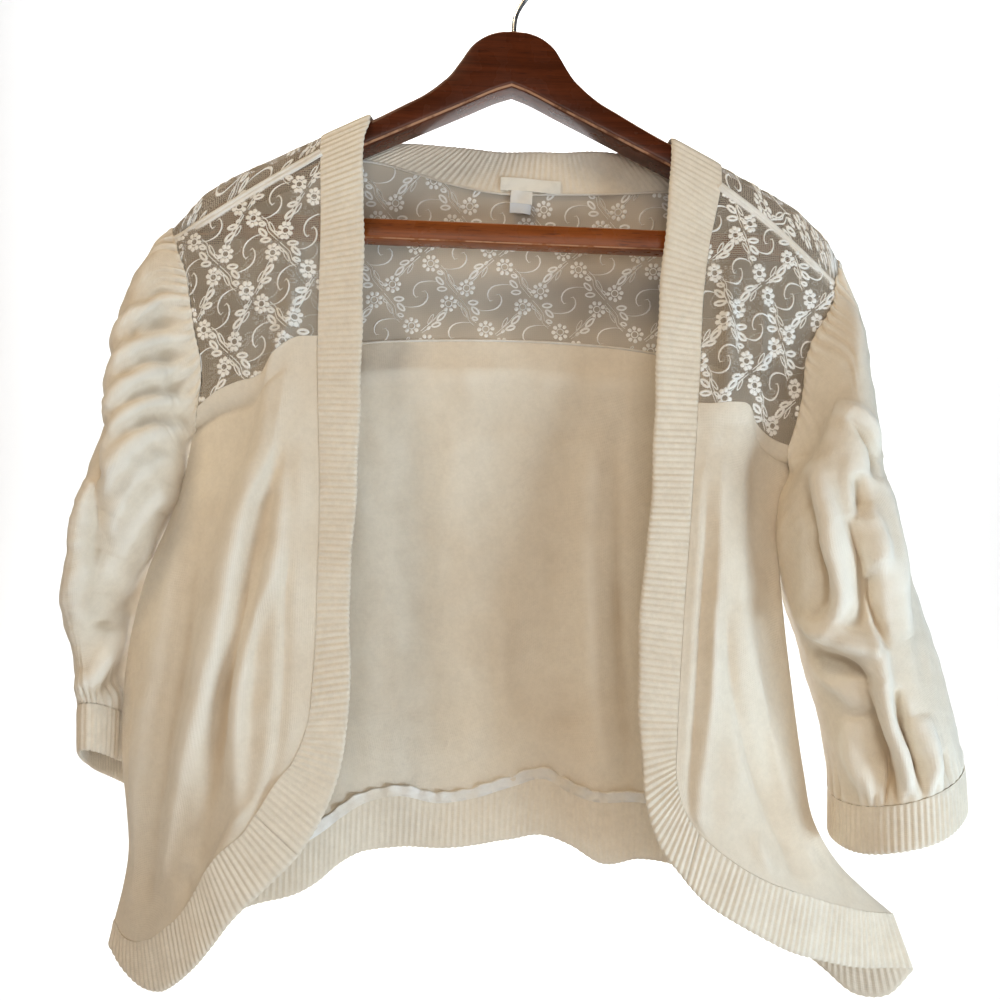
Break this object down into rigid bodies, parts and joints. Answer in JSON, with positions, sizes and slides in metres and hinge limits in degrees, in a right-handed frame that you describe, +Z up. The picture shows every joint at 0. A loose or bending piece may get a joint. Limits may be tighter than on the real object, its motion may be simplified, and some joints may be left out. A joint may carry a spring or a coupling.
{
  "type": "open-front cardigan on a wooden hanger",
  "caption": "Open-front knitted cardigan with ribbed bands, lace yokes and gathered elbow sleeves, hanging on a wooden hanger with a bar and a wire hook.",
  "frame": {"origin": "inner top of the hook, where a rod touches it", "axes": "+X to the wearer's left, +Y to the garment's back, +Z up"},
  "size_m": [0.5651, 0.1382, 0.6927],
  "materials": {
    "hanger_wood": "dark red-brown gloss varnish",
    "bar_wood": "red-brown gloss varnish",
    "hook_wire": "plain bright wire",
    "rib_knit": "fine cream rib knit",
    "jersey": "fine cream jersey",
    "lace": "cream flower lace on a fine net",
    "label_cloth": "bare woven satin"
  },
  "bodies": {
    "root": {"hanger_body": "hanger_wood", "hanger_bar": "bar_wood", "hanger_hook": "hook_wire", "neck_band": "rib_knit", "front_band_right": "rib_knit", "front_band_left": "rib_knit", "hem_band_right": "rib_knit", "hem_band_left": "rib_knit", "hem_band_back": "rib_knit", "cuff_right": "rib_knit", "cuff_left": "rib_knit", "back_panel": "jersey", "front_panel_right": "jersey", "front_panel_left": "jersey", "sleeve_right": "jersey", "sleeve_left": "jersey", "back_yoke": "lace", "front_yoke_right": "lace", "front_yoke_left": "lace", "neck_label": "label_cloth", "size_tag": "label_cloth"}
  },
  "joints": []
}
